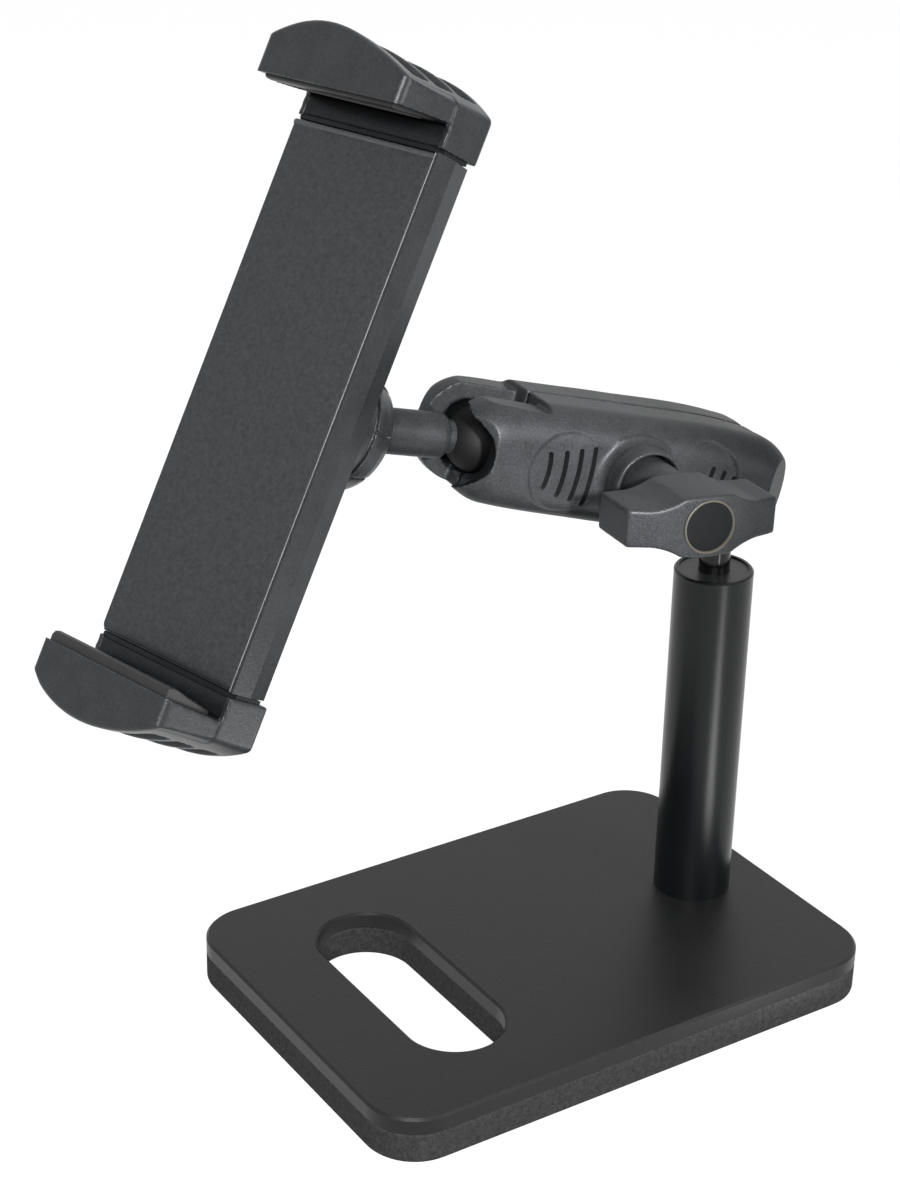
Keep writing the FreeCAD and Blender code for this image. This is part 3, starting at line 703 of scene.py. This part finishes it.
class STAND_OT_ring_nut(bpy.types.Operator):
    """The domed nut behind the holder, with grooves between its grip panels"""
    bl_idname = "stand.ring_nut"
    bl_label = "Ring Nut"

    def execute(self, context):
        sizes = context.scene.stand_holder
        depth = sizes.panel_depth / MM
        nut = combine(cad_copy("ring_nut"), [lathe(NUT_DOME, HOLDER)], "INTERSECT")
        band = [(19.9 - depth, -24.6), (22.5, -24.3), (22.5, -26.3), (19.7 - depth, -26.0),
                (19.9 - depth, -24.6)]
        groove = loft([[(r - depth, 0.45 * half, z) for r, z in NUT_GROOVE]
                       + [(24.0, 0.9 * half, z) for r, z in reversed(NUT_GROOVE)]
                       for half in (-1, 1)], UNPLACED)
        repeated(groove, sizes.panels, (0, 0, 0), 2 * math.pi / sizes.panels, "arm")
        groove.data.transform(HOLDER @ Matrix.Rotation(NUT_TURN, 4, "Z"))
        combine(nut, [lathe(band, HOLDER), groove])
        moulded(nut, NUT_SKIN, 1)
        settle(smooth(nut, 35), "ring_nut_skin", "holder", "ring_nut", ["ring_nut"])
        return {"FINISHED"}


class STAND_OT_case(bpy.types.Operator):
    """The holder's two case halves with softened edges, the left rim cut down under the pad"""
    bl_idname = "stand.case"
    bl_label = "Holder Case"

    def execute(self, context):
        edge = context.scene.stand_holder.case_edge / MM
        for node in ("holder_front", "holder_back"):
            half = cad_copy(node)
            if node == "holder_front":
                combine(half, [brick(*RIM_CUT, HOLDER)])
            bevelled(half, edge)
            settle(smooth(half, 30), node + "_skin", "holder", "holder", [node])
        return {"FINISHED"}


class STAND_OT_painted_highlights(bpy.types.Operator):
    """Painted highlights: a thin rod along the case's rim in light paint, and a roll at the pad's upper
    end in lighter leatherette
    """
    bl_idname = "stand.edge_lines"
    bl_label = "Painted Case Highlights"

    def execute(self, context):
        # A thin rod along the case's rim, coloured as a painted highlight.
        rim = circle(0.24, 10, 28.36, 0.56)
        line = loft([[(u, v, n) for u, n in rim] for v in (-CASE_HALF, CASE_HALF)], HOLDER)
        settle(smooth(line, 60), "case_rim_painted_highlight", "painted_rim_highlight", "holder", [])
        # A roll at the pad's upper end, coloured lighter as a painted highlight band.
        end = circle(0.95, 24, 76.15, -1.05)
        roll = loft([[(u, v, n) for v, n in end] for u in (-29.1, 27.3)], HOLDER)
        settle(smooth(roll, 60), "pad_end_painted_highlight", "roll", "holder", [])
        return {"FINISHED"}


class STAND_OT_screws(bpy.types.Operator):
    """Cross head screws that close the case from behind"""
    bl_idname = "stand.screws"
    bl_label = "Case Screws"

    def execute(self, context):
        rows = []
        for start in (-2 * SCREW_STEP, SCREW_STEP):
            head = lathe(SCREW_HEAD, UNPLACED, 32)
            combine(head, [brick((-1.5, -0.28, -1), (1.5, 0.28, 0.9), UNPLACED),
                           brick((-0.28, -1.5, -1), (0.28, 1.5, 0.9), UNPLACED)])
            head.data.transform(Matrix.Translation((0, start, SCREW_DEPTH)))
            rows.append(repeated(head, 2, (0, SCREW_STEP, 0), 0.0, "zinc"))
        screws = joined(rows[0], rows[1:])
        screws.data.transform(HOLDER)
        settle(smooth(screws), "case_screws", "zinc", "holder", SCREW_NODES)
        return {"FINISHED"}


PAD_HALF = 28.38
PAD_SHIFT = -0.93
PAD_SIDE = 0.8
PAD_UNDER = -1.95


def stations(half, edge, count):
    """Places across the pad, closer together where an edge rolls over."""
    rim = [half - edge * (1 - math.sin(math.pi / 2 * i / 6)) for i in range(6, 0, -1)]
    inner = [(half - edge) * (1 - 2 * i / (count + 1)) for i in range(count + 2)]
    return rim + inner + [-r for r in reversed(rim)]


class STAND_OT_face_pad(bpy.types.Operator):
    """The leatherette pad, fuller in its middle and rolled over at both ends"""
    bl_idname = "stand.face_pad"
    bl_label = "Face Pad"

    def execute(self, context):
        sizes = context.scene.stand_holder
        crown, end = sizes.pad_crown / MM, sizes.pad_end / MM

        def height(u, v):
            full = crown * (1 - (u / PAD_HALF) ** 4) * (1 - (v / CASE_HALF) ** 8)
            over_u = max(0.0, abs(u) - PAD_HALF + PAD_SIDE) / PAD_SIDE
            over_v = max(0.0, abs(v) - CASE_HALF + end) / end
            fall = PAD_SIDE * (1 - math.sqrt(max(0.0, 1 - over_u ** 2)))
            fall += 0.7 * end * (1 - math.sqrt(max(0.0, 1 - over_v ** 2)))
            return max(full - fall - 0.25, PAD_UNDER + 0.05)

        us, vs = stations(PAD_HALF, PAD_SIDE, 30), stations(CASE_HALF, end, 80)
        wide, tall = len(us), len(vs)
        verts = [(u + PAD_SHIFT, v, height(u, v)) for v in vs for u in us]
        faces = [(r * wide + c, r * wide + c + 1, (r + 1) * wide + c + 1, (r + 1) * wide + c)
                 for r in range(tall - 1) for c in range(wide - 1)]
        rim = list(range(wide)) + [(r + 1) * wide - 1 for r in range(1, tall)]
        rim += [(tall - 1) * wide + c for c in range(wide - 2, -1, -1)]
        rim += [r * wide for r in range(tall - 2, 0, -1)]
        base, around = len(verts), len(rim)
        verts += [(verts[i][0], verts[i][1], PAD_UNDER) for i in rim]
        faces += [(rim[i], rim[(i + 1) % around], base + (i + 1) % around, base + i)
                  for i in range(around)]
        faces.append(tuple(range(base, base + around)))
        pad = mesh_object(verts, faces, HOLDER)
        settle(smooth(pad, 50), "face_pad", "leather", "holder", ["holder_pad"])
        return {"FINISHED"}


# Claws. The lower one is described in the holder's frame turned by half a turn.

CROWN_MIDDLE = 46.1
CROWN_RADIUS = 54.7
LIP_FACE = 21
LIP_HALF = 28.05
POCKETS = (12.2, 2.4, -7.4)
SHELF = [(78.9, -3.4), (78.9, -1.9), (79.3, -1.35), (80.4, -0.95), (82.2, -0.8), (84.0, -1.1),
         (85.0, -1.7), (85.3, -2.4), (85.3, -3.4)]
SHELF_DROPS = ((-27.9, 0.3), (-27.6, 0.08), (-27.0, 0), (27.0, 0), (27.6, 0.08), (27.9, 0.3))
SHELF_FOOT = [(77.45, -11.5), (77.45, -2.3), (77.7, -2.0), (79.3, -2.0), (79.3, -11.5)]
STRIP = [(2.4, -1.0), (2.4, 1.3), (5.0, 1.7), (11.0, 2.4), (15.0, 3.1), (17.2, 3.3), (18.6, 2.9),
         (19.1, 2.0), (19.1, -1.0)]
STRIP_TUCKS = ((-25.5, 0.5), (-25.3, 0.15), (-24.8, 0), (24.8, 0), (25.3, 0.15), (25.5, 0.5))

# Which claw, its frame, the sign of its u, how far the crown is lifted in front and behind, its
# sway across, and the left corner: the edge, where it starts to turn and its radius
CLAW_ENDS = (
    ("upper", HOLDER, 1, -0.45, -0.7, 1.9, (28.4, 91.6, 4.5)),
    ("lower", LOWER_END, -1, -1.2, -1.0, 0.8, (26.6, 89.0, 7.8)),
)


def crown_height(u):
    """The claw's crown across its width, as the part has it."""
    return CROWN_MIDDLE + math.sqrt(CROWN_RADIUS ** 2 - u * u)


def crown_pocket(middle, depth, matrix):
    """A shallow pocket that follows the crown across the claw."""
    rings = []
    for i in range(25):
        u = -22 + 46.5 * i / 24
        half = 3.9 if 0 < i < 24 else 3.4
        low, high = crown_height(u) - depth - 0.4, crown_height(u) + 3
        rings.append([(u, low, middle - half + 0.3), (u, low, middle + half - 0.3),
                      (u, high, middle + half + 0.3), (u, high, middle - half - 0.3)])
    return loft(rings, matrix)


def claw_rule(sizes, flip, front_lift, back_lift, sway, left):
    """How a claw's even skin is pulled into its own outline."""
    corner = sizes.lip_round / MM
    left_edge, turn_v, turn_r = left

    def move(u, v, n):
        front = ease_between(n, -14.5, 20.0)
        rise = ease_between(v, 86.5, 92.0)
        lift = front_lift - sway * math.sin(math.pi * u * flip / 38)
        v += rise * (lift * front + back_lift * (1 - front) * (1 - (u / 34) ** 2))
        if n > 0.9:
            u -= math.copysign(0.35, u) * ease_between(abs(u), 26, 28)

        edge = LIP_HALF + (LIP_FACE - n) * 0.079 - corner
        over_u, over_n = abs(u) - edge, n - (LIP_FACE - corner)
        reach = math.hypot(over_u, over_n)
        if over_u > 0 and over_n > 0 and reach > corner:
            u = math.copysign(edge + over_u * corner / reach, u)
            n = LIP_FACE - corner + over_n * corner / reach

        hand = -u * flip
        if hand > 0:
            hand -= (LIP_HALF - left_edge) * ease_between(hand, 20, 28) * ease_between(n, 0.9, 20)
            over_u, over_v = hand - (left_edge - turn_r), v - turn_v
            reach = math.hypot(over_u, over_v)
            if over_u > 0 and over_v > 0 and reach > turn_r:
                pull = ease_between(n, -4, 16) * ease_between(over_u, 0, 0.45 * turn_r)
                hand += pull * over_u * (turn_r / reach - 1)
                v += pull * over_v * (turn_r / reach - 1)
            u = -hand * flip
        return u, v, n

    return move


def claw_shelf(matrix, flip):
    """The slide's face between the pad and the lip, gently rounded, and its foot in the gap
    beside the case."""
    top = loft([[(u, v, n - drop) for v, n in SHELF] for u, drop in SHELF_DROPS], matrix)
    ends = (-29.3, 28.9) if flip > 0 else (-28.9, 29.3)
    return joined(top, [loft([[(u, v, n) for v, n in SHELF_FOOT] for u in ends], matrix)])


class STAND_OT_claws(bpy.types.Operator):
    """Both claws: crowned lips, pockets along the crown, and the shelf behind the lip"""
    bl_idname = "stand.claws"
    bl_label = "Claws"

    def execute(self, context):
        sizes = context.scene.stand_holder
        for end, matrix, flip, *shape in CLAW_ENDS:
            body = end + "_claw"
            claw = cad_copy(body)
            cuts = [crown_pocket(middle, sizes.pocket_depth / MM, matrix) for middle in POCKETS]
            near, far = sorted((-31 * flip, -27.6 * flip))
            cuts.append(brick((near, 77, -1.3), (far, 85.3, 2), matrix))
            combine(claw, cuts)
            moulded(claw, sizes.claw_skin / MM, 6)
            reshape(claw, matrix, claw_rule(sizes, flip, *shape))
            settle(smooth(claw, 50), body + "_skin", "holder", body, [body])
            shelf = smooth(claw_shelf(matrix, flip), 40)
            settle(shelf, body + "_shelf", "arm", body, [])
        return {"FINISHED"}


class STAND_OT_claw_rubber(bpy.types.Operator):
    """Rubber strips inside the lips, with fine ridges along them"""
    bl_idname = "stand.claw_rubber"
    bl_label = "Claw Rubber"

    def execute(self, context):
        for end, matrix, full in (("upper", HOLDER, 0.42), ("lower", LOWER_END, 1.0)):

            def swell(rise, tuck):
                return max(full * rise - tuck, 0.1) if rise > 0 else rise

            strip = loft([[(u, 85.48 - 0.108 * n - swell(rise, tuck), n) for n, rise in STRIP]
                          for u, tuck in STRIP_TUCKS], matrix)
            low = 84.65 - 1.7 * full
            ridge = loft([[(u, low + 0.3, 6.6), (u, low - 0.3, 7.0), (u, low + 0.3, 7.4)]
                          for u in (-24.6, 24.6)], UNPLACED)
            repeated(ridge, 5, (0, -0.22 - 0.2 * full, 2.0), 0.0, "grip")
            ridge.data.transform(matrix)
            joined(strip, [ridge])
            body = end + "_claw"
            settle(smooth(strip, 50), body + "_rubber", "grip", body, [body + "_pad"])
        return {"FINISHED"}


# Stage

LAMP_TARGET = Vector((-0.02, -0.02, 0.14))
BEAM_SPOT = ARM @ Vector((-24, 3, 22))
BEAM_WAY = (ARM.to_3x3() @ Vector((-0.18, 0.3, 0.93))).normalized()
BEAM_DISTANCE = 0.5
STRIP_AT = (0.215, 0.046, 0.004)
FLOOR_DEPTH = -0.0001
FLOOR_SHADE = 0.18
FLOOR_GLOW = 0.96
WORLD_LIGHT = 0.09
WHITE = (1, 1, 1, 1)


def look_at(stage):
    a, e, r = stage.azimuth, stage.height, stage.roll
    back = Vector((math.sin(a) * math.cos(e), -math.cos(a) * math.cos(e), math.sin(e)))
    right = Vector((math.cos(a), math.sin(a), 0))
    up = back.cross(right)
    rows = (right * math.cos(r) + up * math.sin(r), up * math.cos(r) - right * math.sin(r), back)
    turned = Matrix(rows).transposed().to_4x4()
    turned.translation = Vector(stage.target) + back * stage.distance
    return turned


def aimed(at, target):
    """Where a lamp stands that shines at the target."""
    aim = Vector(target) - Vector(at)
    return Matrix.Translation(at) @ aim.to_track_quat("-Z", "Y").to_matrix().to_4x4()


def softbox(name, at, size, watts):
    light = bpy.data.lights.new(name, "AREA")
    light.shape = "RECTANGLE"
    light.size, light.size_y = size
    light.energy = watts
    lamp = linked(name, light)
    lamp.matrix_world = aimed(at, LAMP_TARGET)
    return lamp


def white_backdrop(nodes, links, seen, lit):
    """The plain lit shader, but white where the camera or a reflection sees it."""
    path = nodes.new("ShaderNodeLightPath")
    share = path.outputs["Is Camera Ray"]
    for ray in ("Is Glossy Ray", "Is Transmission Ray"):
        either = nodes.new("ShaderNodeMath")
        either.operation = "MAXIMUM"
        links.new(share, either.inputs[0])
        links.new(path.outputs[ray], either.inputs[1])
        share = either.outputs[0]
    mix = nodes.new("ShaderNodeMixShader")
    links.new(share, mix.inputs["Fac"])
    links.new(lit, mix.inputs[1])
    links.new(seen, mix.inputs[2])
    return mix.outputs[0]


def white_floor(context, size):
    bpy.ops.mesh.primitive_plane_add(size=size, location=(0, 0, FLOOR_DEPTH))
    floor = context.active_object
    floor.name = "floor"
    material, nodes, links, shader = principled("White Floor")
    shader.inputs["Base Color"].default_value = (FLOOR_SHADE, FLOOR_SHADE, FLOOR_SHADE, 1)
    shader.inputs["Roughness"].default_value = 1.0
    shader.inputs["Specular IOR Level"].default_value = 0.0
    glow = nodes.new("ShaderNodeEmission")
    glow.inputs["Strength"].default_value = FLOOR_GLOW
    both = nodes.new("ShaderNodeAddShader")
    links.new(glow.outputs[0], both.inputs[0])
    links.new(shader.outputs[0], both.inputs[1])
    mix = white_backdrop(nodes, links, both.outputs[0], shader.outputs[0])
    links.new(mix, nodes["Material Output"].inputs["Surface"])
    floor.data.materials.append(material)


def white_world(scene):
    world = bpy.data.worlds.new("Studio")
    world.use_nodes = True
    scene.world = world
    nodes, links = world.node_tree.nodes, world.node_tree.links
    soft = nodes["Background"]
    soft.inputs["Color"].default_value = WHITE
    soft.inputs["Strength"].default_value = WORLD_LIGHT
    white = nodes.new("ShaderNodeBackground")
    white.inputs["Color"].default_value = WHITE
    mix = white_backdrop(nodes, links, white.outputs[0], soft.outputs[0])
    links.new(mix, nodes["World Output"].inputs["Surface"])


def lamps():
    softbox("side_box", (1.05, 0.48, 0.4), (0.26, 0.9), 7)
    softbox("front_box", (0.80, -0.66, 0.78), (0.32, 0.32), 14)
    softbox("left_box", (0.05, -1.2, 0.25), (0.4, 0.5), 0.5)
    softbox("top_box", (0.1, 0.1, 1.35), (0.9, 0.9), 1.4)
    beam = bpy.data.lights.new("arm_beam", "SPOT")
    beam.energy = 52
    beam.spot_size = math.radians(15)
    beam.spot_blend = 1.0
    beam.shadow_soft_size = 0.02
    linked("arm_beam", beam).matrix_world = aimed(BEAM_SPOT + BEAM_DISTANCE * BEAM_WAY, BEAM_SPOT)
    strip = softbox("post_strip", STRIP_AT, (0.26, 0.035), 0.3)
    upward = Matrix.Rotation(math.pi, 4, "X") @ Matrix.Rotation(math.radians(5), 4, "Z")
    strip.matrix_world = Matrix.Translation(STRIP_AT) @ upward
    strip.visible_camera = False


class STAND_OT_stage(bpy.types.Operator):
    """Set up the floor, the world, the lamps and the camera"""
    bl_idname = "stand.stage"
    bl_label = "Stage"

    def execute(self, context):
        scene = context.scene
        stage = scene.stand_stage
        scene.view_settings.view_transform = "Standard"
        white_floor(context, stage.floor_size)
        white_world(scene)
        lamps()
        camera = linked("camera", bpy.data.cameras.new("camera"))
        camera.data.sensor_fit = "VERTICAL"
        camera.data.sensor_height = 36
        camera.data.lens = stage.lens
        camera.matrix_world = look_at(stage)
        scene.camera = camera
        return {"FINISHED"}


STEPS = (STAND_OT_finishes, STAND_OT_foam, STAND_OT_arm, STAND_OT_knob, STAND_OT_cap_ring,
         STAND_OT_ring_nut, STAND_OT_case, STAND_OT_painted_highlights, STAND_OT_screws,
         STAND_OT_face_pad, STAND_OT_claws, STAND_OT_claw_rubber, STAND_OT_stage)
GROUPS = {"stand_arm": StandArm, "stand_holder": StandHolder, "stand_stage": StandStage}


class STAND_PT_panel(bpy.types.Panel):
    """One button for every step"""
    bl_label = "Tablet Desk Stand"
    bl_space_type = "VIEW_3D"
    bl_region_type = "UI"
    bl_category = "Stand"

    def draw(self, context):
        for step in STEPS:
            self.layout.operator(step.bl_idname)


CLASSES = (*GROUPS.values(), *STEPS, STAND_PT_panel)


def register():
    for cls in CLASSES:
        bpy.utils.register_class(cls)
    for name, group in GROUPS.items():
        setattr(bpy.types.Scene, name, bpy.props.PointerProperty(type=group))


def unregister():
    for name in GROUPS:
        delattr(bpy.types.Scene, name)
    for cls in reversed(CLASSES):
        bpy.utils.unregister_class(cls)


def main():
    register()
    for step in STEPS:
        group, name = step.bl_idname.split(".")
        getattr(getattr(bpy.ops, group), name)()


if __name__ == "__main__":
    main()
